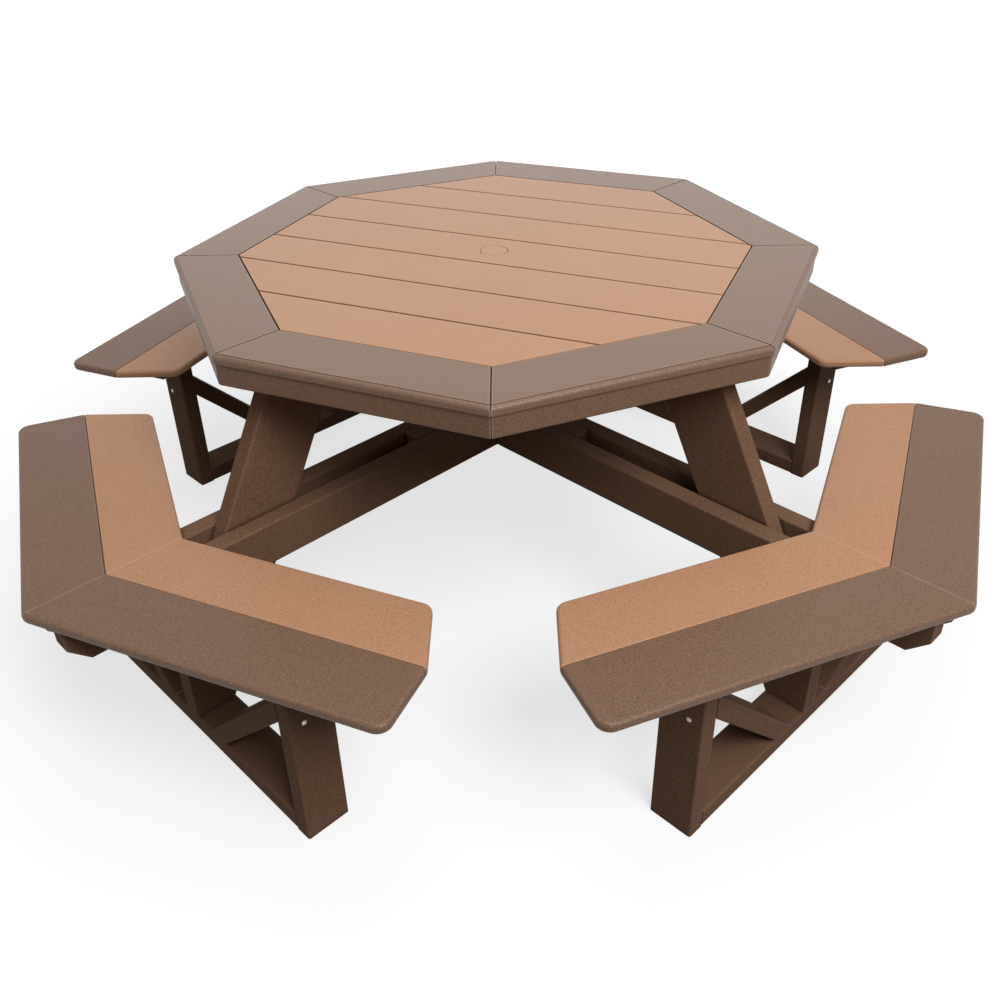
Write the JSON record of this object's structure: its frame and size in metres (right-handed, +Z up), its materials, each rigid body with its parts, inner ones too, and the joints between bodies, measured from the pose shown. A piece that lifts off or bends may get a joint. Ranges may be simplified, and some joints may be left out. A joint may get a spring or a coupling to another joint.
{
  "type": "octagon picnic table",
  "caption": "Octagon walk-in picnic table of plastic lumber: slatted top in a mitred rim, lift-out umbrella plug, leaning legs and attached angled benches on crossing beams.",
  "frame": {"origin": "on the floor, under the middle of the table top", "axes": "+Z up; walk-in gaps on +X, -X, +Y and -Y; legs, beams and benches on the diagonals"},
  "size_m": [2.0618, 2.0618, 0.762],
  "materials": {
    "cedar_lumber": "matte, finely speckled",
    "brown_lumber": "matte, finely speckled",
    "fasteners": "plain stainless"
  },
  "bodies": {
    "table": {"apron_boards": "brown_lumber", "beam_fillers": "brown_lumber", "bench_braces_1": "brown_lumber", "bench_braces_2": "brown_lumber", "bench_braces_3": "brown_lumber", "bench_braces_4": "brown_lumber", "bench_legs_1": "brown_lumber", "bench_legs_2": "brown_lumber", "bench_legs_3": "brown_lumber", "bench_legs_4": "brown_lumber", "carriage_bolts": "fasteners", "floor_rail_1": "brown_lumber", "floor_rail_2": "brown_lumber", "floor_rail_3": "brown_lumber", "floor_rail_4": "brown_lumber", "hex_nuts": "fasteners", "inner_seat_board_1": "cedar_lumber", "inner_seat_board_2": "cedar_lumber", "inner_seat_board_3": "cedar_lumber", "inner_seat_board_4": "cedar_lumber", "inner_seat_board_5": "cedar_lumber", "inner_seat_board_6": "cedar_lumber", "inner_seat_board_7": "cedar_lumber", "inner_seat_board_8": "cedar_lumber", "outer_seat_board_1": "brown_lumber", "outer_seat_board_2": "brown_lumber", "outer_seat_board_3": "brown_lumber", "outer_seat_board_4": "brown_lumber", "outer_seat_board_5": "brown_lumber", "outer_seat_board_6": "brown_lumber", "outer_seat_board_7": "brown_lumber", "outer_seat_board_8": "brown_lumber", "rim_board_1": "brown_lumber", "rim_board_2": "brown_lumber", "rim_board_3": "brown_lumber", "rim_board_4": "brown_lumber", "rim_board_5": "brown_lumber", "rim_board_6": "brown_lumber", "rim_board_7": "brown_lumber", "rim_board_8": "brown_lumber", "seat_battens": "brown_lumber", "seat_beam_1": "brown_lumber", "seat_beam_2": "brown_lumber", "seat_beam_3": "brown_lumber", "seat_beam_4": "brown_lumber", "seat_cleats": "brown_lumber", "slat_1": "cedar_lumber", "slat_2": "cedar_lumber", "slat_3": "cedar_lumber", "slat_4": "cedar_lumber", "slat_5": "cedar_lumber", "slat_6": "cedar_lumber", "slat_7": "cedar_lumber", "table_leg_1": "brown_lumber", "table_leg_2": "brown_lumber", "table_leg_3": "brown_lumber", "table_leg_4": "brown_lumber", "top_cleats": "brown_lumber", "wood_screws": "fasteners"},
    "plug": {"umbrella_plug": "cedar_lumber"}
  },
  "joints": [
    {"name": "plug_lift", "type": "slide", "parent": "table", "child": "plug", "axis": [0, 0, 1], "range_m": [0, 0.03]}
  ]
}
